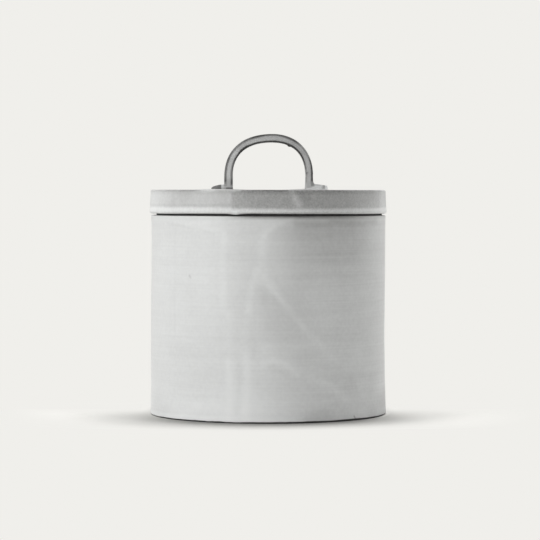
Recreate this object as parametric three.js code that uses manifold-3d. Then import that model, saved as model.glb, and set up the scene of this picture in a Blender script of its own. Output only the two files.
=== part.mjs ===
// A glazed stoneware canister: a thrown jar, a drop-on lid with a locating flange, and a strap handle
// bent to an arch, whose pressed feet are luted to the top of the lid.
// Millimetres, +Z up. The origin is the centre of the foot ring, on the surface that the jar stands on.
// The arch of the handle lies in the XZ plane, and the strap is wide along Y.
import * as THREE from "three";
import { mergeVertices } from "three/addons/utils/BufferGeometryUtils.js";
import Module from "manifold-3d";

// Jar, thrown in one piece with a turned foot ring.
const jarRadius = 60; // outside of the straight wall
const jarHeight = 102; // foot to rim
const rimWall = 5; // wall thickness at the rim
const footWall = 6.5; // wall thickness where it meets the floor
const floorThickness = 6; // table to the inside floor
const floorRound = 7; // inside corner between floor and wall
const rimRound = 0.8; // outer edge of the rim
const mouthRound = 1.2; // inner edge of the rim
const flareOut = 0.6; // swelling of the wall just above the foot
const flareHeight = 16; // height at which the swelling starts
const flareRound = 40; // radius of the soft bend where it starts
const footBevel = 1.1; // bevel that lifts the wall off the table
const footRingWidth = 8; // flat part of the foot ring
const footRecess = 1.6; // hollow inside the foot ring
const footRound = 0.4; // edges of the foot ring

// Lid, with its seat on the rim and a flange that drops into the mouth.
const lidHeight = 13; // seat to flat top
const lidOverhang = 0.85; // lower edge of the lid beyond the jar wall
const lidTaper = 0.5; // the side leans in by this much at the top
const lidTopThickness = 5; // flat top
const lidTopRound = 0.7; // edge of the flat top
const bandHeight = 4.1; // fuller band along the lower edge
const bandSlope = 1.2; // height of the slope at the top of the band
const bandStand = 0.2; // how far the band stands out
const bandRound = 2; // soft bends at the ends of that slope
const edgeUndercut = 2.5; // the seat ends this far inside the lower edge
const edgeRise = 1.2; // height of the undercut at the lower edge
const edgeRound = 0.7; // corner of the lower edge
const flangeClearance = 0.8; // radial play of the flange in the mouth
const flangeWall = 4; // thickness of the flange
const flangeDepth = 9; // seat to the end of the flange
const flangeRound = 1.2; // edges of the flange
const hollowRound = 6; // inside corner under the flat top

// Handle, one strap with its two ends bent out and pressed down.
const archWidth = 45.6; // across the outside of the legs
const handleHeight = 28.6; // lid to the top of the crown
const legHeight = 6.6; // straight part of the legs
const archFullness = 0.635; // share of each half axis taken by the curve's handles, 0.552 on an ellipse
const strapThickness = 4.4;
const strapWidth = 15; // across the strap at the feet
const crownWidth = 12; // across the strap at the crown
const strapEase = 0.7; // bevel along the cut edges of the strap
const footReach = 6.6; // foot beyond the outside of its leg
const footThickness = 2.5;
const footFillet = 1.4; // corner between foot and leg
const footTipRound = 1.6; // upper edge of the foot's tip
const footTipBulge = 3; // how far the middle of the tip stands out beyond its corners

// Fineness of the round forms.
const turnSegments = 72; // round the axis
const roundSegments = 3; // along a rounded corner
const archSegments = 12; // along half of the arch
const easeSegments = 2; // across the eased edge of the strap

const wasm = await Module();
wasm.setup();

// A closed geometry as a solid that can be cut.
function solidFrom(geometry) {
  const bare = geometry.index ? geometry.toNonIndexed() : geometry.clone();
  bare.deleteAttribute("normal");
  bare.deleteAttribute("uv");
  const merged = mergeVertices(bare, 1e-4);
  return new wasm.Manifold(
    new wasm.Mesh({
      numProp: 3,
      vertProperties: new Float32Array(merged.attributes.position.array),
      triVerts: new Uint32Array(merged.index.array),
    }),
  );
}

// A cut solid as a geometry again.
function geometryFrom(solid) {
  const { vertProperties, triVerts } = solid.getMesh();
  const geometry = new THREE.BufferGeometry();
  geometry.setAttribute("position", new THREE.BufferAttribute(vertProperties, 3));
  geometry.setIndex(new THREE.BufferAttribute(triVerts, 1));
  geometry.computeVertexNormals();
  return geometry;
}

// Points along straight edges from corner to corner, where a corner [x, y, radius] is rounded by an arc.
// A rounding takes at most half of the shorter edge beside it.
function roundedOutline(corners) {
  const points = [];
  corners.forEach(([x, y, radius = 0], i) => {
    const corner = new THREE.Vector2(x, y);
    if (!radius || i === 0 || i === corners.length - 1) {
      points.push(corner);
      return;
    }
    const back = new THREE.Vector2(...corners[i - 1].slice(0, 2)).sub(corner);
    const ahead = new THREE.Vector2(...corners[i + 1].slice(0, 2)).sub(corner);
    const room = Math.min(back.length(), ahead.length()) / 2;
    back.normalize();
    ahead.normalize();
    const halfAngle = Math.acos(THREE.MathUtils.clamp(back.dot(ahead), -1, 1)) / 2;
    const setback = Math.min(radius / Math.tan(halfAngle), room);
    const inward = back.clone().add(ahead).normalize();
    const centre = corner.clone().addScaledVector(inward, setback / Math.cos(halfAngle));
    const from = corner.clone().addScaledVector(back, setback).sub(centre);
    const to = corner.clone().addScaledVector(ahead, setback).sub(centre);
    const sweep = Math.atan2(from.cross(to), from.dot(to));
    for (let step = 0; step <= roundSegments; step++) {
      const spoke = from.clone().rotateAround(new THREE.Vector2(), (sweep * step) / roundSegments);
      points.push(spoke.add(centre));
    }
  });
  return points;
}

// A profile of [radius, height, rounding] corners turned round the Z axis. It starts on the axis at the
// underside, goes up the outside and ends on the axis again, so that the faces point outwards.
function turned(corners) {
  const geometry = new THREE.LatheGeometry(roundedOutline(corners), turnSegments);
  return geometry.rotateX(Math.PI / 2);
}

function glaze(color, roughness) {
  return new THREE.MeshStandardMaterial({ color, roughness, metalness: 0 });
}

function piece(name, geometry, material) {
  const mesh = new THREE.Mesh(geometry, material);
  mesh.name = name;
  return mesh;
}

// The jar: foot ring, wall, rim, then down the inside to the middle of the floor.
function jarGeometry() {
  const footRadius = jarRadius + flareOut - footBevel;
  const ringInside = footRadius - footRingWidth;
  return turned([
    [0, footRecess],
    [ringInside - footRecess, footRecess, footRound],
    [ringInside, 0, footRound],
    [footRadius, 0, footRound],
    [jarRadius + flareOut, footBevel, footRound],
    [jarRadius, flareHeight, flareRound],
    [jarRadius, jarHeight, rimRound],
    [jarRadius - rimWall, jarHeight, mouthRound],
    [jarRadius - footWall, floorThickness, floorRound],
    [0, floorThickness],
  ]);
}

// The lid, with its seat at height 0: flange, seat, undercut edge, band, side and flat top.
function lidGeometry() {
  const flangeRadius = jarRadius - rimWall - flangeClearance;
  const hollowRadius = flangeRadius - flangeWall;
  const hollowHeight = lidHeight - lidTopThickness;
  const edgeRadius = jarRadius + lidOverhang;
  const sideRadius = edgeRadius - bandStand;
  return turned([
    [0, hollowHeight],
    [hollowRadius, hollowHeight, hollowRound],
    [hollowRadius, -flangeDepth, flangeRound],
    [flangeRadius, -flangeDepth, flangeRound],
    [flangeRadius, 0],
    [edgeRadius - edgeUndercut, 0],
    [edgeRadius, edgeRise, edgeRound],
    [edgeRadius, bandHeight - bandSlope, bandRound],
    [sideRadius, bandHeight, bandRound],
    [edgeRadius - lidTaper, lidHeight, lidTopRound],
    [0, lidHeight],
  ]);
}

// One half of the strap seen from the front: crown, outside of the leg, foot, and back up the inside.
function strapHalf() {
  const outside = archWidth / 2;
  const inside = outside - strapThickness;
  const tip = outside + footReach;
  const crownUnderside = handleHeight - strapThickness;
  const outerRise = handleHeight - legHeight;
  const innerRise = crownUnderside - legHeight;
  const half = new THREE.Path();
  half.moveTo(0, handleHeight);
  half.bezierCurveTo(
    outside * archFullness, handleHeight,
    outside, handleHeight - outerRise * (1 - archFullness),
    outside, legHeight,
  );
  half.lineTo(outside, footThickness + footFillet);
  half.quadraticCurveTo(outside, footThickness, outside + footFillet, footThickness);
  half.lineTo(tip - footTipRound, footThickness);
  half.quadraticCurveTo(tip, footThickness, tip, footThickness - footTipRound);
  half.lineTo(tip, 0);
  half.lineTo(inside, 0);
  half.lineTo(inside, legHeight);
  half.bezierCurveTo(
    inside, legHeight + innerRise * archFullness,
    inside * archFullness, crownUnderside,
    0, crownUnderside,
  );
  return half.getPoints(archSegments);
}

// The strap with its cut edges eased, drawn in towards the crown.
function strapSolid() {
  const half = strapHalf();
  const mirrored = half.slice(1, -1).map((p) => new THREE.Vector2(-p.x, p.y)).reverse();
  const outline = new THREE.Shape([...half, ...mirrored]);
  const strap = new THREE.ExtrudeGeometry(outline, {
    depth: strapWidth - 2 * strapEase,
    bevelThickness: strapEase,
    bevelSize: strapEase,
    bevelOffset: -strapEase,
    bevelSegments: easeSegments,
  });
  strap.translate(0, 0, strapEase - strapWidth / 2).rotateX(Math.PI / 2);
  const place = strap.attributes.position;
  for (let i = 0; i < place.count; i++) {
    const drawn = THREE.MathUtils.smoothstep(place.getZ(i), footThickness, handleHeight);
    const width = THREE.MathUtils.lerp(strapWidth, crownWidth, drawn);
    place.setY(i, (place.getY(i) * width) / strapWidth);
  }
  return solidFrom(strap);
}

// A prism over the handle's plan, with a round tip at each end, clear of the strap along its sides.
function planSolid() {
  const tip = archWidth / 2 + footReach;
  const side = strapWidth / 2 + strapEase;
  const spread = 2 * Math.atan(footTipBulge / side);
  const radius = side / Math.sin(spread);
  const plan = new THREE.Shape();
  plan.absarc(tip - radius, 0, radius, -spread, spread);
  plan.absarc(radius - tip, 0, radius, Math.PI - spread, Math.PI + spread);
  const prism = new THREE.ExtrudeGeometry(plan, {
    depth: 2 * handleHeight,
    bevelEnabled: false,
    curveSegments: archSegments,
  });
  return solidFrom(prism.translate(0, 0, -handleHeight / 2));
}

function handleGeometry() {
  return geometryFrom(strapSolid().intersect(planSolid()));
}

const handle = piece("handle", handleGeometry(), glaze(0x9b9b9a, 0.5));
handle.position.z = lidHeight;

const lidGroup = new THREE.Group();
lidGroup.position.z = jarHeight;
lidGroup.add(piece("lid", lidGeometry(), glaze(0xbcbdbc, 0.45)), handle);

const canister = new THREE.Group();
canister.add(piece("jar", jarGeometry(), glaze(0xd8d9d7, 0.45)), lidGroup);

export default canister;
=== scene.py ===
import math

import bmesh
import bpy
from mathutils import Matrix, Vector, noise
from mathutils.geometry import interpolate_bezier


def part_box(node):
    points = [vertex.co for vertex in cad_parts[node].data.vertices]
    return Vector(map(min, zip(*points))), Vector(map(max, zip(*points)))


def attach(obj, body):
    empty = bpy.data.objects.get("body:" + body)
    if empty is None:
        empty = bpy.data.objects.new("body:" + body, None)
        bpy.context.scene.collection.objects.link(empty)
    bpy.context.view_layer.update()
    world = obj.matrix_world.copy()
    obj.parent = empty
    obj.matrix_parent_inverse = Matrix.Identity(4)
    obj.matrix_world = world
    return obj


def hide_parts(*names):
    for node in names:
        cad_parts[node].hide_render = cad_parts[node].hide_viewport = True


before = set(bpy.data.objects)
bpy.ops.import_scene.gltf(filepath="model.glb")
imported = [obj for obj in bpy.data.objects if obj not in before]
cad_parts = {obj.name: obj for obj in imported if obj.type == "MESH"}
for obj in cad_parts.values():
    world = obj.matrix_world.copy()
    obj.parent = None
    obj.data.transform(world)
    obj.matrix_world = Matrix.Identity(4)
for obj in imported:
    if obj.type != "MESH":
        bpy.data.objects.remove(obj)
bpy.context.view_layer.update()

mm = 0.001  # the frame is in metres, the sizes below are in millimetres
print("frame loaded with", ", ".join(sorted(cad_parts)))


# A shader socket that can be added up, so that a pattern is written as a sum
class Wire:
    def __init__(self, tree, socket=None):
        self.tree = tree
        self.socket = socket

    def node(self, kind, settings=None, values=None, out=0):
        made = self.tree.nodes.new(kind)
        for key, value in (settings or {}).items():
            if key == "stops":
                self.fillRamp(made.color_ramp, value)
            else:
                setattr(made, key, value)
        for key, value in (values or {}).items():
            if isinstance(value, Wire):
                self.tree.links.new(value.socket, made.inputs[key])
            else:
                made.inputs[key].default_value = value
        return Wire(self.tree, made.outputs[out] if len(made.outputs) else None)

    def fillRamp(self, ramp, stops):
        while len(ramp.elements) < len(stops):
            ramp.elements.new(0.5)
        for element, (place, colour) in zip(ramp.elements, stops):
            element.position = place
            element.color = (*colour, 1)

    def out(self, key):
        return Wire(self.tree, self.socket.node.outputs[key])

    def maths(self, operation, *values):
        return self.node("ShaderNodeMath", {"operation": operation}, dict(enumerate(values)))

    def __add__(self, other):
        return self.maths("ADD", self, other)

    def __radd__(self, other):
        return self.maths("ADD", other, self)

    def __sub__(self, other):
        return self.maths("SUBTRACT", self, other)

    def __rsub__(self, other):
        return self.maths("SUBTRACT", other, self)

    def __mul__(self, other):
        return self.maths("MULTIPLY", self, other)

    def __rmul__(self, other):
        return self.maths("MULTIPLY", other, self)

    def __truediv__(self, other):
        return self.maths("DIVIDE", self, other)

    def __rtruediv__(self, other):
        return self.maths("DIVIDE", other, self)

    def __pow__(self, other):
        return self.maths("POWER", self, other)

    def least(self, other):
        return self.maths("MINIMUM", self, other)

    def most(self, other):
        return self.maths("MAXIMUM", self, other)

    def size(self):
        return self.maths("ABSOLUTE", self)

    def clamped(self):
        return self.node("ShaderNodeClamp", None, {"Value": self})

    def step(self, low, high):
        # 0 at low and 1 at high, smooth between them, in either order
        settings = {"interpolation_type": "SMOOTHSTEP", "clamp": False}
        return self.node("ShaderNodeMapRange", settings, {"Value": self, "From Min": low, "From Max": high})

    def toward(self, other, share):
        return self + (other - self) * share


def emptyTree(owner):
    owner.use_nodes = True
    owner.node_tree.nodes.clear()
    return owner.node_tree


def vectorMaths(wire, operation, values, out="Vector"):
    return wire.node("ShaderNodeVectorMath", {"operation": operation}, values, out)


# Where a spot lies on a piece, in millimetres: x, y, z, distance from the axis, degrees from the front
class Spot:
    seedShift = (3.1, 1.7, 5.3)  # each seed takes a part of the noise of its own

    def __init__(self, tree):
        self.start = Wire(tree)
        self.coords = self.start.node("ShaderNodeTexCoord", out="Object")
        split = self.start.node("ShaderNodeSeparateXYZ", None, {"Vector": self.coords})
        self.x, self.y, self.z = (split.out(axis) / mm for axis in range(3))
        self.radius = (self.x * self.x + self.y * self.y) ** 0.5
        self.angle = self.x.maths("ARCTAN2", self.x, -1 * self.y) * (180 / math.pi)

    def cloud(self, grain, stretch=(1, 1, 1), detail=2.0, seed=0.0, coords=None):
        # soft noise from -1 to 1, whose blotches are about grain millimetres across
        values = {
            "Vector": coords or self.coords,
            "Scale": [share / (grain * mm) for share in stretch],
            "Location": [seed * shift for shift in self.seedShift],
        }
        place = self.start.node("ShaderNodeMapping", None, values)
        values = {"Vector": place, "Scale": 1.0, "Detail": detail, "Roughness": 0.5}
        return self.start.node("ShaderNodeTexNoise", None, values) * 2 - 1

    def clouds(self, kinds):
        made = {}
        for name, (grain, detail, seed) in kinds.items():
            made[name] = self.cloud(grain, detail=detail, seed=seed)
        return made

    def rings(self, grain, seed):
        # turning marks on a flat top or floor
        place = self.start.node("ShaderNodeCombineXYZ", None, {0: self.radius * mm})
        return self.cloud(grain, detail=3, seed=seed, coords=place)

    def own(self, name):
        return self.start.node("ShaderNodeAttribute", {"attribute_name": name}, None, "Fac")


# A limit is (along what, where it starts, where it is full). A wash is how much to add, and its limits
def zone(ways, limits):
    # 1 within all the limits and 0 beyond any of them
    masks = [ways[way].step(start, full) for way, start, full in limits]
    return math.prod(masks[1:], start=masks[0])


def wash(coat, ways, washes):
    for strength, limits in washes:
        coat = coat + zone(ways, limits) * strength
    return coat


def addShares(parts, level, shares):
    # a level with a share of each part that is named
    for name, share in shares.items():
        level = level + parts[name] * share
    return level


def addTextures(coat, textures, shares, rough):
    # each texture has its share, and a further one where it is rough
    for name, (share, further) in shares.items():
        coat = coat + textures[name] * (rough * further + share)
    return coat


# Glaze over clay: bare grey clay at 0, thin grey glaze, then whiter as it lies thicker
glazeStops = [
    (0.0, (0.045, 0.044, 0.043)),
    (0.2, (0.190, 0.189, 0.186)),
    (0.4, (0.340, 0.340, 0.336)),
    (0.6, (0.508, 0.510, 0.505)),
    (0.8, (0.668, 0.673, 0.668)),
    (1.0, (0.830, 0.840, 0.834)),
    (1.2, (0.935, 0.942, 0.934)),
]
satin = {
    "glazed": 0.42,  # roughness under a full coat
    "bare": 0.8,  # and of bare clay
    "between": (0.05, 0.5),  # it changes between these thicknesses
    "unevenness": 0.05,
    "grain": 4.0,
    "seed": 9.0,
    "ior": 1.5,
}


def glazeMaterial(name, paint, gloss):
    material = bpy.data.materials.new(name)
    tree = emptyTree(material)
    spot = Spot(tree)
    thickness, relief = paint(spot)
    thickest = glazeStops[-1][0]
    stops = [(thick / thickest, shade) for thick, shade in glazeStops]
    thickness = (thickness / thickest).clamped() * thickest
    colour = thickness.node("ShaderNodeValToRGB", {"stops": stops}, {"Fac": thickness / thickest})
    rough = gloss["bare"] + thickness.step(*gloss["between"]) * (gloss["glazed"] - gloss["bare"])
    rough = rough + spot.cloud(gloss["grain"], seed=gloss["seed"]) * gloss["unevenness"]
    bump = relief.node("ShaderNodeBump", None, {"Height": relief, "Strength": 1.0, "Distance": mm})
    values = {"Base Color": colour, "Roughness": rough, "Normal": bump, "IOR": gloss["ior"]}
    surface = spot.start.node("ShaderNodeBsdfPrincipled", None, values)
    surface.node("ShaderNodeOutputMaterial", None, {"Surface": surface})
    print("mixed", name, "with", len(tree.nodes), "nodes")
    return material


cornerSegments = 5  # along a rounded corner of a profile
weld = 1e-6  # points closer than this, in metres, are one


def roundedWire(bm, corners, spacing):
    # a profile of (radius, height, rounding) corners, with its long stretches divided
    spots = [bm.verts.new((r * mm, 0, z * mm)) for r, z, rounding in corners]
    for pair in zip(spots, spots[1:]):
        bm.edges.new(pair)
    for spot, (r, z, rounding) in zip(spots, corners):
        if rounding:
            bmesh.ops.bevel(
                bm, geom=[spot], offset=rounding * mm, offset_type="OFFSET", segments=cornerSegments,
                profile=0.5, affect="VERTICES", material=-1,
            )
    for edge in bm.edges[:]:
        cuts = int(edge.calc_length() / (spacing * mm))
        if cuts:
            bmesh.ops.subdivide_edges(bm, edges=[edge], cuts=cuts)


def spinRound(bm, steps):
    bmesh.ops.spin(
        bm, geom=bm.verts[:] + bm.edges[:], cent=(0, 0, 0), axis=(0, 0, 1), dvec=(0, 0, 0),
        angle=math.tau, steps=steps, use_merge=True, use_duplicate=False,
    )
    bmesh.ops.remove_doubles(bm, verts=bm.verts[:], dist=weld)
    bmesh.ops.recalc_face_normals(bm, faces=bm.faces[:])


def ramp(value, start, full):
    # 0 at start and 1 at full, straight between them, in either order
    return min(1, max(0, (value - start) / (full - start)))


def addObject(bm, name, material):
    mesh = bpy.data.meshes.new(name)
    bm.to_mesh(mesh)
    bm.free()
    mesh.materials.append(material)
    made = bpy.data.objects.new(name, mesh)
    bpy.context.collection.objects.link(made)
    return made


def addPiece(bm, name, material, body, node):
    piece = addObject(bm, name, material)
    piece.data.shade_smooth()
    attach(piece, body)
    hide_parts(node)
    print("made", name, "with", len(piece.data.polygons), "faces")


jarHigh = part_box("jar")[1] / mm
lidLow, lidHigh = (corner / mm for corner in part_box("lid"))
strapLow, strapHigh = (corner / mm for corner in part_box("handle"))

# The jar
jarForm = {
    "flareOut": 0.6,
    "flareHeight": 16,
    "flareRound": 5,
    "rimWall": 5.0,
    "rimRound": 0.5,
    "mouthRound": 1.4,
    "footWall": 6.5,
    "footBevel": 0.7,
    "bevelRound": 0.5,
    "footRing": 8.0,
    "footRound": 0.4,
    "footRecess": 1.6,
    "recessRound": 0.5,
    "floor": 6.0,
    "floorRound": 7,
    "steps": 216,
    "spacing": 1.7,
    "outerSkin": 3,  # how deep the outside of the wall goes
    "innerSkin": 9,  # and the inside
    "offFoot": (2, 8),  # the wall leaves its true line between these distances from the foot
    "offRim": (1, 7),  # and from the rim
    "wobble": 0.10,
    "wobbleSize": 42,
    "wobbleSquash": 1.4,
    "ringDepth": 0.16,
    "ringPitch": 5.2,
    "ringsFrom": 10,
    # (height, how far it stands out) down either side, which the thrower left a little uneven
    "left": [(102, 0.2), (95, -0.12), (85, -0.2), (70, -0.05), (55, 0.2), (25, 0.35), (12, 0.1), (4, 0)],
    "right": [(102, 0.3), (85, 0.18), (70, 0.12), (40, -0.22), (25, 0.08), (12, 0.22), (4, 0.08)],
    "rimRises": [(0.11, -10, -30), (-0.09, 44, 50)],  # how much higher the rim is, from x, to x
    "riseHeights": (98, 102),  # the wall follows between these heights
    "riseDepths": (1.2, 0.2),  # and at these depths
}
jarRadius = jarHigh.x - jarForm["flareOut"]
jarHeight = jarHigh.z


def along(points, z):
    # the value at height z on straight lines between (height, value) points listed downwards
    for (top, a), (bottom, b) in zip(points, points[1:]):
        if z >= bottom:
            return b + (a - b) * min(1, (z - bottom) / (top - bottom))
    return points[-1][1]


def throwJar(material):
    form = jarForm
    footRadius = jarHigh.x - form["footBevel"]
    ringInside = footRadius - form["footRing"]
    bm = bmesh.new()
    roundedWire(bm, [
        (0, form["footRecess"], 0),
        (ringInside - form["footRecess"], form["footRecess"], form["recessRound"]),
        (ringInside, 0, form["footRound"]),
        (footRadius, 0, form["footRound"]),
        (jarHigh.x, form["footBevel"], form["bevelRound"]),
        (jarRadius, form["flareHeight"], form["flareRound"]),
        (jarRadius, jarHeight, form["rimRound"]),
        (jarRadius - form["rimWall"], jarHeight, form["mouthRound"]),
        (jarRadius - form["footWall"], form["floor"], form["floorRound"]),
        (0, form["floor"], 0),
    ], form["spacing"])
    spinRound(bm, form["steps"])
    for vert in bm.verts:
        x, y, z = vert.co / mm
        radius = math.hypot(x, y)
        depth = jarRadius - radius
        free = ramp(z, *form["offFoot"]) * ramp(jarHeight - z, *form["offRim"])
        push = 0
        if depth < form["outerSkin"]:
            place = Vector((x, y, z * form["wobbleSquash"])) / form["wobbleSize"]
            push = free * form["wobble"] * noise.noise(place)
            push += along(form["right" if x > 0 else "left"], z) * (x / radius) ** 2
            lift = sum(rise * ramp(x, start, full) for rise, start, full in form["rimRises"])
            lift *= ramp(z, *form["riseHeights"]) * ramp(depth, *form["riseDepths"])
            vert.co.z += lift * mm
        elif depth < form["innerSkin"] and z > form["ringsFrom"]:
            turn = math.atan2(y, x) / math.tau
            push = free * form["ringDepth"] * math.sin(math.tau * (z / form["ringPitch"] + turn))
        vert.co.xy *= 1 + push / max(radius, 1)
    addPiece(bm, "thrown_jar", material, "jar", "jar")


# Glaze on the jar: it ran down from the rim, so it lies in soft streaks, thin at the upper right
jarGlaze = {
    "coat": 0.90,
    "patches": [  # (angle, height) of the middle, half width, half height, how much thicker
        ((-25, 74), 17, 52, 0.045),
        ((-48, 64), 45, 60, 0.040),
        ((-8, 20), 26, 34, 0.05),
        ((9, 53), 19, 22, -0.075),
        ((-19, 8), 26, 26, 0.050),
        ((-45, 33), 16, 8, -0.04),
        ((42, 17), 9, 8, -0.045),
        ((46, 29), 13, 10, 0.035),
        ((17.5, 33), 10, 7, -0.04),
        ((0, 35), 6, 7, 0.03),
        ((-7.8, 41), 4.5, 14, -0.035),
        ((-9, 1), 30, 9, 0.045),
        ((17, 71), 9, 10, -0.035),
        ((80, 5), 22, 14, -0.19),
        ((-68, 4), 24, 11, -0.08),
        ((62, 12), 12, 16, -0.03),
        ((25, 2.8), 14, 6, -0.12),
        ((40, 3), 9, 4, -0.04),
        ((60, 3), 9, 5, -0.07),
        ((150, 72), 34, 46, 0.04),  # from here on round the back
        ((-140, 30), 36, 40, -0.035),
        ((118, 88), 16, 22, -0.07),
    ],
    "runs": [  # (angle, height) points down each run, half width, how much thicker
        ([(-21.5, 93), (-21.5, 59)], 3.2, 0.040),
        ([(-19.5, 54), (-18.5, 3)], 4.2, 0.025),
        ([(-9.7, 58), (-10.6, 5)], 5.0, 0.025),
        ([(-19.3, 30), (-18.8, 1)], 3.2, 0.035),
        ([(-10.0, 34), (-10.2, 1)], 3.2, 0.040),
        ([(-14.2, 28), (-14.0, 5)], 2.6, -0.035),
        ([(-2.6, 93), (-2.6, 74), (-3.6, 70)], 4.2, 0.045),
        ([(-5.2, 76), (-7.4, 68), (-9.2, 56)], 3.0, 0.050),
        ([(-0.8, 72), (8.2, 58.2), (16.8, 47.3)], 3.2, 0.055),
        ([(19.5, 44.5), (28.1, 35.7), (35, 29)], 3.4, 0.038),
        ([(-3.4, 67), (-1.7, 60)], 4.5, -0.035),
        ([(-2.2, 29.8), (2.5, 31.5), (9.1, 28.8), (13.9, 24.3)], 2.6, 0.050),
        ([(1.1, 27.6), (8.2, 24.6)], 3.0, -0.030),
        ([(21.3, 22.6), (32, 16.8), (41, 10.9)], 4.2, 0.055),
        ([(-45, 3.2), (-35.6, 6.8)], 3.5, 0.030),
        ([(-0.3, 68), (7.2, 59)], 1.9, 0.045),
        ([(-58, 98.8), (-48, 97.4), (-35, 95.2), (-27, 93.2)], 1.4, -0.04),
        ([(14, 98.0), (40, 98.4), (64, 98.4)], 3.0, -0.10),
        ([(-1.5, 92.5), (1, 95.4), (4.6, 97.8), (11.2, 100.4)], 2.2, 0.055),
        ([(-51, 95), (-51, 45)], 1.8, -0.022),
        ([(165, 95), (168, 60), (163, 22)], 4.0, 0.045),  # from here on round the back
        ([(128, 60), (140, 45), (150, 26)], 3.5, 0.05),
        ([(-120, 82), (-125, 36)], 5.0, 0.04),
        ([(-160, 97), (-157, 72)], 3.0, -0.04),
        ([(98, 92), (97, 30)], 4.5, 0.03),
        ([(-97, 92), (-99, 50)], 4.0, -0.03),
    ],
    "specks": [  # iron spots that show through, as the runs are
        ([(-40.6, 72.3), (-40.0, 71.5)], 1.1, -0.16),
        ([(45, 2.2), (45.6, 1.4)], 0.8, -0.35),
    ],
    "grooves": [  # height, from angle, to angle, half width, how much thicker
        (77.2, -65, -40, 1.0, -0.022),
        (70.9, -30, 20, 1.2, -0.025),
        (56.8, -40, -2, 1.3, -0.025),
        (53.2, 2, 70, 0.8, -0.018),
        (41.9, -60, -38, 1.1, -0.025),
        (37.2, 12, 70, 1.0, 0.018),
    ],
    "grooveFade": 6,  # degrees
    "washes": [
        (-0.25, [("angle", -4, 19.5), ("angle", 69, 37), ("height", 60, 98), ("y", 20, -20)]),  # upper right
        (0.04, [("overBand", -1.2, 1.2), ("angle", -18, -30)]),  # a fuller band along the rim
        (0.08, [("overBand", -1.2, 1.2), ("angle", -6, 20)]),
        (0.012, [("drifting", 20, 7)]),  # lighter towards the foot, most on the left: painted light against the shade near the floor, laid as glaze pooled there
        (0.045, [("drifting", 20, 7), ("x", 25, -8)]),
        # lighter just above the foot on the left and middle: painted light against the shade where the wall
        # meets the floor
        (0.08, [("mottled", 3.5, 1.5), ("x", 21, 12)]),
        (-0.05, [("fromRim", 2.2, 0.5)]),  # darker just under the rim, mostly right of the middle: thin glaze and painted shade under the lid's edge
        (-0.33, [("fromRim", 2.2, 0.5), ("x", -25, -5)]),
        (0.182, [("fromRim", 2.2, 0.5), ("x", 32, 54)]),
        (-0.12, [("fromRim", 1.0, 0.4), ("x", -25, -5)]),
        (0.06, [("fromRim", 1.0, 0.4), ("x", 16, 26)]),
        (0.033, [("fromRim", 1.0, 0.4), ("x", 32, 54)]),
    ],
    "bandHeight": 99.2,
    "bandEdge": [(-7.0, [("angle", -62, -18)]), (7.5, [("angle", -6, 6)])],
    "clouds": {  # size of the blotches, detail, seed
        "drift": (26, 3, 3),
        "mottle": (7, 4, 4),
        "grain": (1.7, 2, 14),
        "sideways": (14, 2, 5),
        "upAndDown": (11, 2, 6),
    },
    "rings": (2.6, 17),  # size, seed
    "wander": {"sideways": 1.4, "upAndDown": 1.2, "drift": 5},  # degrees, then millimetres
    "textures": {  # share, and how much more where it is rough
        "lines": (0.075, 0.05), "mottle": (0.026, 0.012), "grain": (0.05, 0.02), "drift": (0.02, 0),
    },
    "rough": [("x", 8, 36), ("y", 20, -20)],
    "outside": [("depth", 2.5, 1.5)],
    "inside": (0.8, {"lines": 0.05, "mottle": 0.03, "rings": 0.04}),
    "clay": (0.19, {"mottle": 0.05, "grain": 0.03}),
    "underside": [("z", 2.6, 1.9)],
    "undersideRings": 0.06,
    # the bare band round the foot is painted near-black on its outer bevel, as shade where the pot meets the
    # floor
    "footRise": [(0.35, [("x", -30, 45)])],  # the clay shows higher on the right
    "footLine": [  # x of the middle, half width, how much higher the clay shows there
        (0, 17, 0.2), (-25.5, 5, 0.25), (21.5, 6, 0.15), (40, 9, 0.12),
        (-48, 22, 0.12), (-58, 6, -0.2), (54, 14, -0.08), (-33.5, 5, 0.12),
    ],
    "footFlat": 0.3,  # share of that width at full height
    "footMottle": 0.2,
    "footEdge": (0.75, 0.4),
    "bareRim": [  # clay that shows along the outer edge and on the flat of the rim; along the outer edge it is painted near-black, as shade in the gap under the lid
        (0.3, [("fromRim", 0.15, 0), ("aside", 59, 55.5)]),
        (0.5, [("fromRim", 0.15, 0), ("aside", 59, 55.5), ("x", -34, -10)]),
        (1, [("fromRim", 0.6, 0.2), ("depth", 0.9, 1.5)]),
    ],
    "facing": [("depth", 0.9, 1.5)],  # foot ring and seat, which keep the clay's own tone, lighter than the outer edges, where the clay is painted near-black as shade
    # near-black on the outer edges of foot and rim: painted shade of the line under the pot and of the gap
    # under the lid
    "edgeClayShade": 0.02,
    # lighter in places along the painted shade under the foot
    "footTones": [
        (0.05, [("z", 3, 2), ("x", -14, -8), ("x", 12, 5)]),
        (0.10, [("z", 3, 2), ("x", -52, -58)]),
    ],
    "relief": {"lines": 0.02, "mottle": 0.015, "grain": 0.008},
    "runRelief": 0.6,
}
throwing = [(0.9, 0.02, 3, 1), (4.5, 0.06, 2, 2)]  # height of the lines, how short they are, detail, seed
patchCore = 0.2  # a patch is full over this share of its width


def unroll(angle, height):
    # the wall laid out flat, millimetres along it and up it
    return angle.node("ShaderNodeCombineXYZ", None, {0: angle * (math.radians(1) * jarRadius), 1: height})


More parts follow.
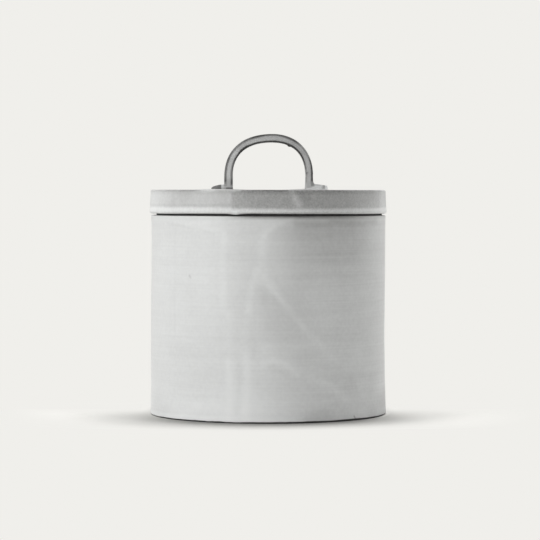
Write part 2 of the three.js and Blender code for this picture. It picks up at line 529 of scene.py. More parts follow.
def runMask(unrolled, points, width):
    # 1 along a run of glaze through these (angle, height) points, falling to 0 at width millimetres from it
    spots = [Vector((math.radians(angle) * jarRadius, height, 0)) for angle, height in points]
    nearest = None
    for start, end in zip(spots, spots[1:]):
        way = end - start
        off = vectorMaths(unrolled, "SUBTRACT", {0: unrolled, 1: start})
        share = vectorMaths(off, "DOT_PRODUCT", {0: off, 1: way / way.length_squared}, "Value").clamped()
        foot = vectorMaths(share, "SCALE", {0: way, "Scale": share})
        away = vectorMaths(off, "DISTANCE", {0: off, 1: foot}, "Value")
        nearest = away if nearest is None else nearest.least(away)
    return nearest.step(width, 0)


def addRuns(coat, unrolled, runs):
    for points, width, strength in runs:
        coat = runMask(unrolled, points, width) * strength + coat
    return coat


def addPatches(coat, unrolled, patches):
    # soft ovals round (angle, height) points
    for (angle, height), halfWidth, halfHeight, strength in patches:
        place = (math.radians(angle) * jarRadius, height, 0)
        values = {"Vector": unrolled, "Location": place, "Scale": (halfWidth, halfHeight, 1)}
        oval = unrolled.node("ShaderNodeMapping", {"vector_type": "TEXTURE"}, values)
        coat = coat + vectorMaths(oval, "LENGTH", {0: oval}, "Value").step(1, patchCore) * strength
    return coat


def throwingLines(spot):
    # lines round the pot from the thrower's fingers, fine and broad
    lines = 0
    for size, short, detail, seed in throwing:
        lines = lines + spot.cloud(size, (short, short, 1), detail, seed) * (1 / len(throwing))
    return lines


def paintJar(spot):
    look = jarGlaze
    textures = spot.clouds(look["clouds"])
    textures["lines"] = throwingLines(spot)
    textures["rings"] = spot.rings(*look["rings"])
    wander = {name: textures[name] * reach for name, reach in look["wander"].items()}
    angle = spot.angle + wander["sideways"]
    height = spot.z + wander["upAndDown"]
    ways = {
        "x": spot.x, "y": spot.y, "z": spot.z, "angle": angle, "height": height,
        "aside": spot.x.size(),
        "depth": jarRadius - spot.radius,
        "fromRim": jarHeight - spot.z,
        "drifting": spot.z + wander["drift"],
        "mottled": spot.z + textures["mottle"],
    }
    ways["overBand"] = height - wash(look["bandHeight"], ways, look["bandEdge"])
    unrolled = unroll(angle, height)
    runs = addRuns(0, unrolled, look["runs"])
    wall = addPatches(look["coat"] + runs, unrolled, look["patches"])
    fade = look["grooveFade"]
    for level, start, end, halfWidth, strength in look["grooves"]:
        reach = angle.step(start - fade, start + fade) * angle.step(end + fade, end - fade)
        wall = wall + (spot.z - level).size().step(halfWidth, 0) * reach * strength
    wall = wash(wall, ways, look["washes"])
    wall = addTextures(wall, textures, look["textures"], zone(ways, look["rough"]))
    wall = addRuns(wall, unroll(spot.angle, spot.z), look["specks"])
    clay = addShares(textures, *look["clay"])
    inside = addShares(textures, *look["inside"])
    underside = clay + textures["rings"] * look["undersideRings"]
    inside = inside.toward(underside, zone(ways, look["underside"]))
    thickness = inside.toward(wall, zone(ways, look["outside"]))
    footLine = wash(0, ways, look["footRise"])
    for place, halfWidth, rise in look["footLine"]:
        footLine = footLine + (spot.x - place).size().step(halfWidth, halfWidth * look["footFlat"]) * rise
    bareFoot = (spot.z + textures["mottle"] * look["footMottle"] - footLine).step(*look["footEdge"])
    bare = bareFoot.most(wash(0, ways, look["bareRim"])).least(1)
    # bare clay keeps its own tone on foot ring and seat, and is painted near-black as shade on the outer
    # edges
    bareTone = wash(clay * zone(ways, look["facing"]) + look["edgeClayShade"], ways, look["footTones"])
    relief = addShares(textures, runs * look["runRelief"], look["relief"])
    return thickness.toward(bareTone, bare), relief


# The lid
lidForm = {
    "seat": jarHeight,
    "taper": 0.5,
    "top": 5.0,
    "topRound": 1.0,
    "bandHeight": 4.1,
    "bandSlope": 1.2,
    "bandStand": 0.2,
    "bandRound": 0.5,
    "undercut": 3.0,
    "undercutRound": 0.3,
    "edgeRise": 1.08,
    "edgeRound": 1.1,
    "seatRound": 0.2,
    "clearance": 0.8,
    "flangeWall": 4.0,
    "flangeRound": 1.2,
    "flangeFillet": 0.25,
    "hollowRound": 6,
    "steps": 216,
    "spacing": 1.7,
    "edgeSkin": (1.6, 2.4),  # depth and height of the lower edge
    "ripple": 0.06,
    "rippleSize": 7,
    "rippleSeed": 3,
    "drops": [(-16, 2.2, 0.5), (-7.5, 3, -0.12), (2, 8, -0.08)],  # x of each drop, half width, length
    "sags": [(-36, -52, 0.2), (30, 50, 0.16)],  # lower towards either side: from x, to x, by how much
    "topSkin": (2, 0.2),  # the flat top: how far in from the side, and how near its height
    "pads": [(-25, 17, 0.5), (20.5, 15, 0.5)],  # slip under the feet: where, half length, height
    "padHalfWidth": 19,
    "tilt": 0.0017,  # it sits a little lower on the right
    "seatShift": 0.55,  # the seat was trimmed a little off centre
    "seatSkin": (2, 2.4, 0.05),  # what shifts: how far off flange and side, and how near its height
}
flangeRadius = jarRadius - jarForm["rimWall"] - lidForm["clearance"]
hollowRadius = flangeRadius - lidForm["flangeWall"]


def throwLid(material):
    form = lidForm
    seat, notch = form["seat"], lidHigh.x - form["undercut"]
    under, edge, band = lidHigh.z - form["top"], seat + form["edgeRise"], seat + form["bandHeight"]
    bm = bmesh.new()
    roundedWire(bm, [
        (0, under, 0),
        (hollowRadius, under, form["hollowRound"]),
        (hollowRadius, lidLow.z, form["flangeRound"]),
        (flangeRadius, lidLow.z, form["flangeRound"]),
        (flangeRadius, seat, form["flangeFillet"]),
        (notch, seat, form["seatRound"]),
        (notch, edge, form["undercutRound"]),
        (lidHigh.x, edge, form["edgeRound"]),
        (lidHigh.x, band - form["bandSlope"], form["bandRound"]),
        (lidHigh.x - form["bandStand"], band, form["bandRound"]),
        (lidHigh.x - form["taper"], lidHigh.z, form["topRound"]),
        (0, lidHigh.z, 0),
    ], form["spacing"])
    spinRound(bm, form["steps"])
    edgeDepth, edgeHeight = form["edgeSkin"]
    topDepth, topNear = form["topSkin"]
    offFlange, offEdge, near = form["seatSkin"]
    for vert in bm.verts:
        x, y, z = vert.co / mm
        radius = math.hypot(x, y)
        depth = lidHigh.x - radius
        if depth < edgeDepth and seat < z < seat + edgeHeight:
            place = Vector((x, y, form["rippleSeed"])) / form["rippleSize"]
            sag = max(0, noise.noise(place)) * form["ripple"]
            for start, end, length in form["sags"]:
                sag += length * ramp(x, start, end)
            for dropX, halfWidth, length in form["drops"]:
                sag += length * math.exp(-((x - dropX) / halfWidth) ** 2) * (y < 0)
            vert.co.z -= sag * mm
        if depth > topDepth and z > lidHigh.z - topNear:
            for padX, halfLength, height in form["pads"]:
                inside = max(0, 1 - ((x - padX) / halfLength) ** 2 - (y / form["padHalfWidth"]) ** 2)
                vert.co.z += height * inside * inside * mm
        if seat - near < z < edge + near and radius > flangeRadius + offFlange and depth > offEdge:
            vert.co.x += form["seatShift"] * mm
        vert.co.z -= x * form["tilt"] * mm
    addPiece(bm, "thrown_lid", material, "lid", "lid")


# Glaze on the lid: a second dip covers its left part, up to a border left of the middle
lidArris = [("fromTop", 1.1, 0.4), ("depth", 3, 1)]
lidLip = ("overSeat", 2.4, 1.5)
lidGlaze = {
    "left": 0.735,
    "right": 0.47,
    "overlapX": -18.0,
    "overlap": [
        (0.25, [("wandering", -14, -26)]),
        (0.55, [("pastOverlap", 0.9, -0.9)]),
        (0.2, [("wandering", -2, -16)]),
    ],
    "lean": [(5, [("fromTop", 1.6, 0.3), ("y", -40, -56)])],  # of the overlap, over the top edge
    "mottleWander": 1.2,
    "topWander": [(5, [("y", -54, -30)])],
    "band": 0.24,
    "bandRight": 0.14,
    "bandEnds": [(-0.07, [("x", -46, -56)])],
    "bandFade": (5.2, 3.2),
    "bandDrift": 0.4,
    "bandDrop": 0.6,  # its upper border is lower on the right
    "streaks": [  # (angle, height) points down each streak, half width, how much thicker
        ([(10.9, 114.8), (12.2, 111.8)], 2.3, 0.11),
        ([(13.0, 109.8), (14.4, 107.6)], 3.0, 0.20),
    ],
    "patches": [  # (angle, height) of the middle, half width, half height, how much thicker
        ((18.5, 111), 3.0, 5, -0.045),
        ((16.0, 112), 2.2, 3.0, -0.07),
        ((-2, 104), 24, 3.5, 0.07),
        ((74, 109), 9, 12, 0.10),
        ((-51.5, 109), 2.4, 9, -0.04),
        ((-44, 112), 8, 7, -0.05),
        ((-22.5, 110), 6, 9, -0.035),
        ((-10, 112), 7, 5, -0.035),
        ((60, 107), 14, 4, 0.035),
        ((-15.6, 103.6), 3, 1.6, 0.16),
        ((-31, 114.6), 8, 1.6, 0.12),
    ],
    "side": [("depth", 5, 1.5)],
    "ridge": (5.4, 1.1, -0.06),  # height over the seat, half width, how much thicker
    "washes": [
        (0.17, [("x", 28, 58)]),  # lighter towards both ends: fuller glaze and painted light of the brightening towards the sides
        (0.16, [("x", 50, 60)]),
        (0.17, [("x", -45, -60)]),
        (-0.16, [("fromTop", 3.2, 0.2), ("depth", 3, 1)]),  # thin at the top edge
        (-0.14, [*lidArris, ("wandering", -30, -36)]),
        (-0.112, [*lidArris, ("wandering", -11, -7)]),
        (0.09, [*lidArris, ("x", 8, 11), ("x", 24, 20)]),
        (0.039, [*lidArris, ("x", 20, 24)]),
        (-0.06, [lidLip]),  # darker at the lower edge too: thin glaze and painted shade where its rounding turns down
        (-0.10, [lidLip, ("x", -30, -12)]),
        (0.12, [lidLip, ("x", 24, 46)]),
        (-0.05, [lidLip, ("x", -36, -44)]),
        (0.16, [("offPad", 1, 0.4), ("fromTop", 0.3, 0)]),  # slip round the right foot
        # darker under the left foot's tip: painted contact shade
        (-0.14, [("x", -30.5, -29), ("x", -25, -26.5), ("across", 12, 9), ("fromTop", 0.1, -0.1)]),
    ],
    "rightPad": (21, 16, 20),  # x of the middle, half length, half width
    "clouds": {  # size of the blotches, detail, seed
        "drift": (20, 3, 7),
        "mottle": (5, 4, 8),
        "grain": (1.4, 2, 15),
        "speckle": (0.8, 2, 18),
    },
    "rings": (2.4, 16),  # size, seed
    "ringShare": 0.05,
    "textures": {  # share, and how much more on the right
        "lines": (0.04, 0), "drift": (0.02, 0), "mottle": (0.035, 0.015), "grain": (0.09, 0),
        "speckle": (0.03, 0.12),
    },
    "bareSeat": [
        ("overSeat", 1.8, 1.4), ("depth", 0.5, 0.9),
        ("depth", lidHigh.x - hollowRadius, lidHigh.x - hollowRadius - 1),
    ],
    "clay": (0.19, {"mottle": 0.05, "grain": 0.04}),
    # darker clay on the notch's back wall: painted shade in the gap under the lid, more towards the right
    # end
    "notch": [(-0.13, [("depth", 4.1, 3.6)]), (-0.05, [("depth", 4.1, 3.6), ("x", 42, 48)])],
    "relief": {"lines": 0.02, "mottle": 0.02, "grain": 0.01},
    "bandRelief": 0.2,
}


def paintLid(spot):
    look = lidGlaze
    textures = spot.clouds(look["clouds"])
    textures["lines"] = throwingLines(spot)
    drift, mottle = textures["drift"], textures["mottle"]
    padX, padLength, padWidth = look["rightPad"]
    ways = {
        "x": spot.x, "y": spot.y,
        "across": spot.y.size(),
        "depth": lidHigh.x - spot.radius,
        "fromTop": lidHigh.z - spot.z,
        "overSeat": spot.z - lidForm["seat"],
        "offPad": ((spot.x - padX) / padLength) ** 2 + (spot.y / padWidth) ** 2,
    }
    wandering = spot.x + mottle * look["mottleWander"] + drift * wash(0, ways, look["topWander"])
    ways["wandering"] = wandering
    ways["pastOverlap"] = wandering - wash(0, ways, look["lean"]) - look["overlapX"]
    leftCoat = wash(0, ways, look["overlap"])
    rightCoat = 1 - leftCoat
    coat = look["right"] + leftCoat * (look["left"] - look["right"])
    band = wash(look["band"] + rightCoat * look["bandRight"], ways, look["bandEnds"])
    bandTop = ways["overSeat"] + drift * look["bandDrift"] + rightCoat * look["bandDrop"]
    band = bandTop.step(*look["bandFade"]) * band
    unrolled = unroll(spot.angle, spot.z)
    streaks = addPatches(addRuns(0, unrolled, look["streaks"]), unrolled, look["patches"])
    rings = spot.rings(*look["rings"]) * look["ringShare"]
    level, halfWidth, strength = look["ridge"]
    ridge = (ways["overSeat"] - level).size().step(halfWidth, 0) * leftCoat * strength
    wall = coat + band + rings.toward(streaks, zone(ways, look["side"])) + ridge
    wall = wash(wall, ways, look["washes"])
    wall = addTextures(wall, textures, look["textures"], rightCoat)
    # the clay in the notch is painted darker, as shade in the gap
    clay = wash(addShares(textures, *look["clay"]), ways, look["notch"])
    relief = addShares(textures, band * look["bandRelief"], look["relief"])
    return wall.toward(clay, zone(ways, look["bareSeat"])), relief


# The handle: a strap bent to an arch, with its ends bent out and pressed down as feet
strapForm = {
    # top of each line, and for its legs: distance from the axis, straight height, fullness at top and leg
    "outer": {"crown": (2.1, 28.55), "left": (22.5, 6.0, 0.54, 0.72), "right": (22.9, 8.0, 0.69, 0.49)},
    "inner": {"crown": (1.5, 24.3), "left": (18.15, 7.5, 0.56, 0.70), "right": (19.17, 6.2, 0.545, 0.785)},
    # tip's distance, heights at root and tip, how far in the dome reaches, fillet, swelling inside the leg
    "left": {"reach": 29.25, "root": 2.78, "tip": 2.15, "dome": 5.8, "fillet": (0.7, 0.9), "swell": 0.0},
    "right": {"reach": 30.6, "root": 3.0, "tip": 2.2, "dome": 0.6, "fillet": (2.1, 6.0), "swell": 0.5},
    "crownWidth": 12.0,
    "margin": 0.1,  # the feet are this much narrower than the box, on each side
    "ease": 0.6,
    "easeShare": 0.8,  # of the half thickness or width, where that is less
    "tipBulge": 3.0,  # how far the middle of a tip stands out in plan
    "tipEdge": 0.35,  # share of the height that stands upright at the tip
    "heelPulls": ((2, 1), (0.3, 0.8)),  # along the lid and up the inside of the leg
    "filletPulls": (0.1, 0.2),
    "footSections": 14,
    "bendPoints": 7,  # in each half of the bend from foot to leg
    "legPoints": 8,
    "archPoints": 46,
    "sides": 32,
    "flatEdge": 4,  # edges across the strap that are longer than this are divided
    "flatCuts": 7,
    "wobble": 0.08,
    "wobbleSize": 9,
    "offLid": (1, 5),  # heights between which the wobble starts
    "drip": {"at": (10.5, -5.2, 22.2), "size": 1.0, "depth": 0.9},
}


def curve(start, bendA, bendB, end, count):
    points = [Vector((x, 0, z)) for x, z in (start, bendA, bendB, end)]
    return interpolate_bezier(*points, count)


def archLine(line, side, sign):
    crownX, top = line["crown"]
    reach, leg, fullTop, fullLeg = line[side]
    start = crownX * sign
    bend = start + (reach - start) * fullTop
    pulled = leg + (top - leg) * fullLeg
    return curve((reach, leg), (reach, pulled), (bend, top), (start, top), strapForm["archPoints"])


def legLine(x, low, high):
    return curve((x, low), (x, low), (x, high), (x, high), strapForm["legPoints"])


def strapHalf(side, sign):
    # (inside point, outside point, half width) of each section, from the tip of a foot to the crown
    form, foot = strapForm, strapForm[side]
    outside, outerLeg = form["outer"][side][:2]
    inside, innerLeg = form["inner"][side][:2]
    top, tip, root = form["outer"]["crown"][1], foot["reach"], foot["root"]
    bend, knee = outside + foot["fillet"][0], root + foot["fillet"][1]
    halfWidth = strapHigh.y - form["margin"]
    sections = []
    for number in range(1, form["footSections"] + 1):  # the foot, closer together towards its round tip
        away = (tip - bend) * (number / form["footSections"]) ** 2
        arc = min(1, away / foot["dome"])
        rim = foot["tip"] + (root - foot["tip"]) * away / (tip - bend)
        height = rim * (form["tipEdge"] + (1 - form["tipEdge"]) * math.sqrt(1 - (1 - arc) ** 2))
        width = halfWidth * min(1, math.sqrt(away / form["tipBulge"]))
        sections.append((Vector((tip - away, 0, 0)), Vector((tip - away, 0, height)), width))
    heel = inside - foot["swell"]
    (flatA, flatB), (riseA, riseB) = form["heelPulls"]
    outA, upB = form["filletPulls"]
    count = form["bendPoints"]
    innerBase = curve((bend, 0), (heel + flatA, 0), (heel + flatB, 0), (heel, 0), count)
    innerBase += curve((heel, 0), (heel, riseA), (inside, riseB), (inside, knee), count)[1:]
    pulls = (outside + outA, root), (outside, root + upB)
    outerBase = curve((bend, root), *pulls, (outside, knee), 2 * count - 1)
    parts = [
        (innerBase, outerBase),
        (legLine(inside, knee, innerLeg), legLine(outside, knee, outerLeg)),
        (archLine(form["inner"], side, sign), archLine(form["outer"], side, sign)),
    ]
    for inner, outer in parts:
        for lower, upper in list(zip(inner, outer))[1:]:
            drawn = ramp(upper.z, root, top)
            drawn = drawn * drawn * (3 - 2 * drawn)
            width = halfWidth + (form["crownWidth"] / 2 - halfWidth) * drawn
            sections.append((lower, upper, width))
    flip = Vector((sign, 1, 1))
    return [(lower * flip, upper * flip, width) for lower, upper, width in sections]


def placeSection(verts, layers, section, directions, travelled):
    lower, upper, halfWidth = section
    middle, outward = (lower + upper) / 2, (upper - lower)
    halfThick = outward.length / 2
    outward.normalize()
    ease = min(strapForm["ease"], strapForm["easeShare"] * min(halfThick, halfWidth))
    for vert, (c, s) in zip(verts, directions):
        deep = math.copysign(halfThick - ease, c) + ease * c
        wide = math.copysign(halfWidth - ease, s) + ease * s
        place = middle + outward * deep + Vector((0, wide, strapLow.z))
        vert.co = place * mm
        vert[layers[0]] = deep / halfThick
        vert[layers[1]] = wide / halfWidth
        vert[layers[2]] = travelled


def bendHandle(material):
    form, drip = strapForm, strapForm["drip"]
    bm = bmesh.new()
    layers = [bm.verts.layers.float.new(name) for name in ("deep", "wide", "along")]
    bmesh.ops.create_circle(bm, cap_ends=True, segments=form["sides"], radius=1)
    bm.faces.ensure_lookup_table()
    face = bm.faces[0]
    turn = math.pi / form["sides"]
    start = [math.atan2(v.co.y, v.co.x) + turn for v in face.verts]
    directions = [(math.cos(a), math.sin(a)) for a in start]
    sections = strapHalf("left", -1) + strapHalf("right", 1)[-2::-1]
    placeSection(face.verts, layers, sections[0], directions, 0)
    travelled = 0
    for number, section in enumerate(sections[1:]):
        grown = bmesh.ops.extrude_face_region(bm, geom=[face])
        if number:  # only the first face stays, as the end of the tip
            bmesh.ops.delete(bm, geom=[face], context="FACES_ONLY")
        face = next(item for item in grown["geom"] if isinstance(item, bmesh.types.BMFace))
        travelled += (section[1] - sections[number][1]).length
        placeSection(face.verts, layers, section, directions, travelled)
    flats = [e for e in bm.edges if abs(e.verts[0].co.y - e.verts[1].co.y) > form["flatEdge"] * mm]
    bmesh.ops.subdivide_edges(bm, edges=flats, cuts=form["flatCuts"], use_grid_fill=True)
    bmesh.ops.recalc_face_normals(bm, faces=bm.faces[:])
    bm.normal_update()
    dripSpot = Vector(drip["at"]) + Vector((0, 0, strapLow.z))
    for vert in bm.verts:
        place = vert.co / mm
        free = ramp(place.z - strapLow.z, *form["offLid"])
        push = noise.noise(place / form["wobbleSize"]) * form["wobble"] * free
        near = (place - dripSpot).length / drip["size"]
        vert.co += vert.normal * (push + drip["depth"] * math.exp(-near * near)) * mm
        vert.co.z -= place.x * lidForm["tilt"] * mm
    addPiece(bm, "strap_handle", material, "lid", "handle")


# Glaze on the strap: worn thin along its cut edges. Heights are above the lid
footTop = ("low", 3.4, 2.6)
leftPool = [("x", -24.2, -23.8), ("x", -22.0, -23.2), footTop]
strapGlaze = {
    "coat": 0.57,
    "zones": {
        "leftLeg": [("x", -16, -21), ("base", 20, 10)],
        "leftFace": [("x", -14, -19), ("base", 22, 11), ("base", 4, 7)],
        "leftShoulder": [("x", -6, -12), ("base", 12, 18)],
        "leftBright": [("x", -13, -16), ("base", 15, 17.5), ("base", 23, 20)],
        "leftBroad": [("x", -9.5, -11.5), ("x", -16, -14), ("base", 15, 18)],
        "leftTop": [("x", -6, -12), ("base", 18, 22)],
        "leftTurn": [("x", -11.5, -14.5), ("base", 19.5, 22.5)],
        "leftArch": [("x", 4, -4), ("base", 13, 17)],
        "crown": [("x", 4, 0), ("x", -14, -8), ("base", 20, 24)],
        "crownNarrow": [("base", 12, 20), ("x", -4, 0), ("x", 10, 3)],
        "arch": [("base", 12, 20)],
        "rightShoulder": [("x", 6, 13), ("base", 14, 19)],
        "rightWorn": [("x", 14, 17), ("x", 23, 20), ("base", 13, 18)],
        "rightLeg": [("x", 16, 20), ("base", 16, 8)],
    },
    "shares": {"mottle": 0.06, "drift": 0.04, "leftFace": 0.15, "leftBright": 0.1},
    "outwards": {"leftArch": -0.07},  # how much thicker towards the outside of the bend
    "inwards": {"rightShoulder": -0.09, "crown": 0.03},  # and towards the inside
    "outerEdge": {
        "shift": {"leftLeg": 0.2, "rightLeg": 0.12, "arch": 0.14, "crownNarrow": -0.12, "mottle": 0.1},
        "between": (0.35, 0.85),  # 1 is the outside of the bend, -1 the inside
        "thinner": (0.50, {"leftLeg": 0.03, "rightLeg": 0.06, "leftTop": -0.12, "rightWorn": -0.28}),
        "fade": {"leftTurn": -0.25},
        "lower": {"leftLeg": -0.1},  # how much farther down it goes
        "ends": (2.4, 4.6),
    },
    "innerEdge": {
        "shift": {"leftLeg": -0.1, "leftBroad": -0.12, "mottle": -0.1},
        "between": (-0.4, -0.75),
        "thinner": (0.50, {"rightLeg": -0.3, "leftLeg": -0.04, "arch": 0.08, "leftArch": 0.13}),
        "fade": {},
        "lower": {"leftLeg": 2.2},
        "ends": (2.4, 4.6),
    },
    "cut": (0.6, 0.95),  # share of the half width at which the cut edge starts
    "cutMottle": 0.08,
    "farCut": [(-0.35, [("wide", 0, 0.5)])],  # the far edge is glazed more fully
    "daubs": [  # thickness, its mottle, and washes that say where
        (0.16, 0.06, [  # the left foot, its pool, and painted shadow in the crease inside its leg
            (1, [("x", -23.5, -24.1), footTop]),
            (-0.6, [("x", -23.5, -24.1), footTop, ("far", -3, 6)]),
        ]),
        (0.78, 0, [(0.4, leftPool), (0.6, [*leftPool, ("base", 0.5, 1.5)])]),
        (0.20, 0, [(1, [("x", -21.8, -21.2), ("x", -10, -12), ("base", 0.2, 0.5), ("base", 1.5, 1.0)])]),
        (0.82, 0, [(1, [("x", 20.5, 23.5), footTop])]),  # the right foot, its end, and painted shade in the hollow over it
        (0.50, 0, [(1, [("x", 27.3, 28.4), footTop])]),
        (0.32, 0, [(1, [
            ("x", 21.4, 22.2), ("x", 24.2, 23.2), ("base", 1.2, 2.4), ("base", 5.0, 3.6), ("wide", 0, -0.8),
        ])]),
    ],
    "washes": [
        (-0.2, [("x", 23, 24.5), ("x", 28, 26.5), ("base", 1.75, 2.2), footTop]),
        (-0.16, [("x", -22.9, -22.3), ("x", -20.8, -21.4), ("base", 1.6, 2.2), ("base", 4.0, 3.2)]),
    ],
    "beads": [  # last, as the daubs are: glaze that ran together under the right foot and at its tip
        (0.95, 0, [(1, [("poolTop", 1.2, 0.6), ("x", 18, 20.5), ("x", 31, 30)])]),
        (1.05, 0, [(1, [("x", 28.9, 29.4), footTop])]),
    ],
    "poolDrop": [(0.3, [("x", 25.5, 27)])],
    "poolMottle": 0.2,
    "clouds": {"mottle": (3, 4, 11), "drift": (9, 3, 13)},  # size of the blotches, detail, seed
    "wander": (0.5, 0.3),  # how far borders wander along the strap and up it
    "wanders": (-6.9, -5),  # y at which that starts, behind the front face
    "scratches": {"grain": 0.9, "stretch": (1, 0.5, 1), "detail": 3, "seed": 12},
    "scratched": (0.044, {"leftShoulder": 0.11}),
    "scratchRelief": 0.4,
    "mottleRelief": 0.03,
}


def wornEdge(edge, parts, deep, base):
    # how much thinner the glaze is along one edge of the strap
    border = addShares(parts, deep, edge["shift"]).step(*edge["between"])
    thinner = border * addShares(parts, *edge["thinner"]) * addShares(parts, 1, edge["fade"])
    return thinner * addShares(parts, base, edge["lower"]).step(*edge["ends"])


def addDaubs(coat, ways, mottle, daubs):
    for level, mottled, washes in daubs:
        coat = coat.toward(mottle * mottled + level, wash(0, ways, washes))
    return coat


def paintStrap(spot):
    look = strapGlaze
    deep, wide = spot.own("deep"), spot.own("wide")
    parts = spot.clouds(look["clouds"])
    mottle = parts["mottle"]
    base = spot.z - strapLow.z
    behind = spot.y.step(*look["wanders"])
    sideways, upAndDown = look["wander"]
    ways = {
        "x": spot.x + mottle * sideways * behind,
        "base": base,
        "low": base + mottle * upAndDown * behind,
        "far": spot.y + mottle,
        "wide": wide,
    }
    ways["poolTop"] = wash(base + mottle * look["poolMottle"], ways, look["poolDrop"])
    for name, limits in look["zones"].items():
        parts[name] = zone(ways, limits)
    across = spot.start.node("ShaderNodeCombineXYZ", None, {0: spot.own("along") * mm, 1: deep * mm})
    scratches = spot.cloud(coords=across, **look["scratches"]) * addShares(parts, *look["scratched"])
    cut = (wide.size() + mottle * look["cutMottle"]).step(*look["cut"]) * wash(1, ways, look["farCut"])
    thinner = wornEdge(look["outerEdge"], parts, deep, base) + wornEdge(look["innerEdge"], parts, deep, base)
    coat = addShares(parts, look["coat"] + scratches - thinner * cut, look["shares"])
    coat = coat + deep * addShares(parts, 0, look["outwards"])
    coat = coat + (1 - deep) * addShares(parts, 0, look["inwards"])
    coat = addDaubs(coat, ways, mottle, look["daubs"])
    coat = addDaubs(wash(coat, ways, look["washes"]), ways, mottle, look["beads"])
    return coat, scratches * look["scratchRelief"] + mottle * look["mottleRelief"]


# Camera, light and floor
photoView = {
    "distance": 1.297,
    "height": 0.115,
    "focalPixels": 2522,
    "framePixels": 540,
    "horizonRow": 189.8,
    "axisColumn": 268.15,
    "sensor": 36,
    "clip": (0.01, 100),
}


def setCamera():
    view = photoView
    half = view["framePixels"] / 2
    tilt = math.atan((half - view["horizonRow"]) / view["focalPixels"])
    pan = math.atan((half - view["axisColumn"]) / view["focalPixels"])
    data = bpy.data.cameras.new("photo_camera")
    data.sensor_width = view["sensor"]
    data.lens = view["focalPixels"] * view["sensor"] / view["framePixels"]
    data.clip_start, data.clip_end = view["clip"]
    camera = bpy.data.objects.new("photo_camera", data)
    camera.location = (0, -view["distance"], view["height"])
    camera.rotation_euler = (math.pi / 2 - tilt, 0, -pan)
    bpy.context.collection.objects.link(camera)
    bpy.context.scene.camera = camera
    print("camera set with a lens of", round(data.lens), "mm")


studio = {
    "backdrop": (0.871, 0.863, 0.831),
    "bounce": (0.42, 0.42, 0.41),  # what the floor sends back to the pot
    "fill": 0.25,  # even light from all round
    "softboxes": [  # where each stands, how bright it is, how narrow it is
        ((-0.80, -0.55, 0.20), 2.5, 4),
        ((0.74, 0.64, 0.20), 1.75, 4),
        ((0.45, 0.88, 0.15), 0.6, 8),
        ((-0.55, 0.82, 0.15), 0.55, 7),
        ((0, 0.33, 1), 5.2, 20),
    ],
    "contact": 52,  # how far the painted contact shadow under the pot reaches, from an Ambient Occlusion node in the floor's colour
    "contactDepth": 0.8,
    "contactSamples": 12,
    "sideReach": (85, 140),  # the shadow fades into the plain floor between these distances
    "frontReach": (70, 103),
    "ahead": [("turn", -0.5, -1)],  # turn is 0 beside the pot, -1 straight in front of it
    "right": [("x", -20, 40)],
    "behind": (-24, 30),  # y between which the floor behind the pot turns plain,
    "behindClear": ((62, 76), (50, 67)),  # between these distances from its axis, or to either side
    "paintedLightAndShade": [  # painted shade and light on the floor near the pot: how much lighter, and its limits
        (-0.36, [("turn", -0.5, -1), ("radius", 78, 61)]),
        (0.12, [("turn", -0.5, -0.3), ("turn", 0.15, 0), ("radius", 63.5, 60.5)]),
        (0.34, [("turn", -0.5, -0.3), ("turn", 0.15, 0), ("radius", 63.5, 60.5), ("x", -20, 40)]),
        (0.05, [("turn", -0.35, -0.15), ("turn", 0.15, 0), ("radius", 88, 80), ("x", -20, 40)]),
    ],
    "corner": {  # painted shadow on the floor to either side of the front, the second values for the right
        "limits": [("turn", -0.25, -0.6), ("turn", -1.05, -0.7), ("radius", 60.2, 63)],
        "darker": (0.2, 0.05),
        "reach": (84, 10),
        "full": 62,
    },
    "floorShade": 0.94,
    "floorSize": 5,  # metres
}


def plainRays(wire):
    # 1 for what the camera sees directly or in a reflection
    path = wire.node("ShaderNodeLightPath", out="Is Camera Ray")
    return path.most(path.out("Is Glossy Ray")).most(path.out("Is Transmission Ray"))


def setLight():
    world = bpy.data.worlds.new("studio")
    bpy.context.scene.world = world
    wire = Wire(emptyTree(world))
    way = wire.node("ShaderNodeTexCoord", out="Generated")
    strength = studio["fill"]
    for place, bright, narrow in studio["softboxes"]:
        aim = Vector(place).normalized()
        facing = vectorMaths(wire, "DOT_PRODUCT", {0: way, 1: aim}, "Value")
        strength = strength + facing.most(0) ** narrow * bright
    light = wire.node("ShaderNodeBackground", None, {"Color": (1, 1, 1, 1), "Strength": strength})
    plain = wire.node("ShaderNodeBackground", None, {"Color": (*studio["backdrop"], 1), "Strength": 1})
    mixed = wire.node("ShaderNodeMixShader", None, {0: plainRays(wire), 1: light, 2: plain})
    wire.node("ShaderNodeOutputWorld", None, {"Surface": mixed})
    print("light set with", len(studio["softboxes"]), "softboxes")


def mixColours(wire, share, colourA, colourB):
    # inputs 6 and 7 and output 2 are a Mix node's colours
    return wire.node("ShaderNodeMix", {"data_type": "RGBA"}, {0: share, 6: colourA, 7: colourB}, 2)


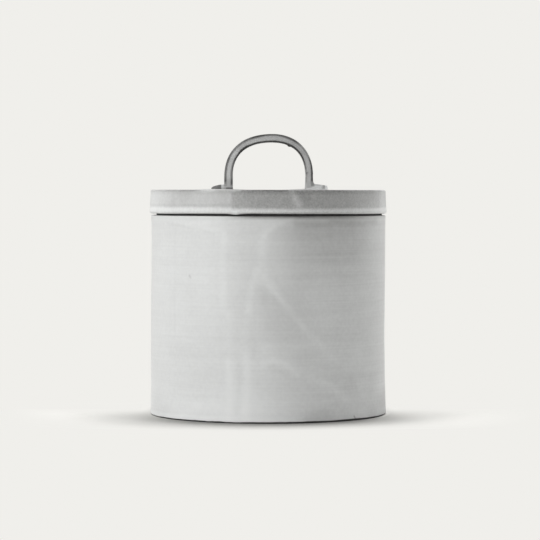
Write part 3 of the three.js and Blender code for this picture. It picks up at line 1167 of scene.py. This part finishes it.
def paintedFloorShade(spot, ways):
    # painted shadow on the floor: darker by its nearness to the pot, with painted shade and light beside and
    # in front of it
    right = zone(ways, studio["right"])
    corner = studio["corner"]
    (darker, darkerRight), (reach, reachRight) = corner["darker"], corner["reach"]
    dark = zone(ways, corner["limits"]) * (darker + right * darkerRight)
    dark = dark * spot.radius.step(reach + right * reachRight, corner["full"])
    depth = studio["contactDepth"]
    settings = {"samples": studio["contactSamples"]}
    values = {"Distance": studio["contact"] * mm}
    # an Ambient Occlusion node paints the contact shadow into the floor's colour
    contact = spot.start.node("ShaderNodeAmbientOcclusion", settings, values, "AO")
    tone = contact * depth + (1 - depth)
    return tone * (wash(1, ways, studio["paintedLightAndShade"]) - dark) * studio["floorShade"]


def setFloor():
    material = bpy.data.materials.new("floor_paint")
    spot = Spot(emptyTree(material))
    wire = spot.start
    colour = (*studio["backdrop"], 1)
    seen = plainRays(wire)
    ways = {"x": spot.x, "radius": spot.radius, "turn": spot.y / spot.radius}
    ahead = zone(ways, studio["ahead"])
    reach = zip(studio["sideReach"], studio["frontReach"])
    near, far = (side + (front - side) * ahead for side, front in reach)
    clearOut, clearAside = studio["behindClear"]
    clear = spot.radius.step(*clearOut).most(spot.x.size().step(*clearAside))
    behind = spot.y.step(*studio["behind"]) * clear
    plain = seen * spot.radius.step(near, far).most(behind)
    paint = mixColours(wire, paintedFloorShade(spot, ways), (0, 0, 0, 1), colour)
    paint = mixColours(wire, seen, (*studio["bounce"], 1), paint)
    paint = wire.node("ShaderNodeBsdfDiffuse", None, {"Color": paint})
    glow = wire.node("ShaderNodeEmission", None, {"Color": colour, "Strength": 1})
    mixed = wire.node("ShaderNodeMixShader", None, {0: plain, 1: paint, 2: glow})
    wire.node("ShaderNodeOutputMaterial", None, {"Surface": mixed})
    bm = bmesh.new()
    bmesh.ops.create_grid(bm, x_segments=2, y_segments=2, size=studio["floorSize"])
    floor = addObject(bm, "floor", material)
    print("floor set")


bpy.context.scene.view_settings.view_transform = "Standard"
setCamera()
setLight()
setFloor()
throwJar(glazeMaterial("jar_glaze", paintJar, satin))
throwLid(glazeMaterial("lid_glaze", paintLid, satin))
bendHandle(glazeMaterial("handle_glaze", paintStrap, satin))
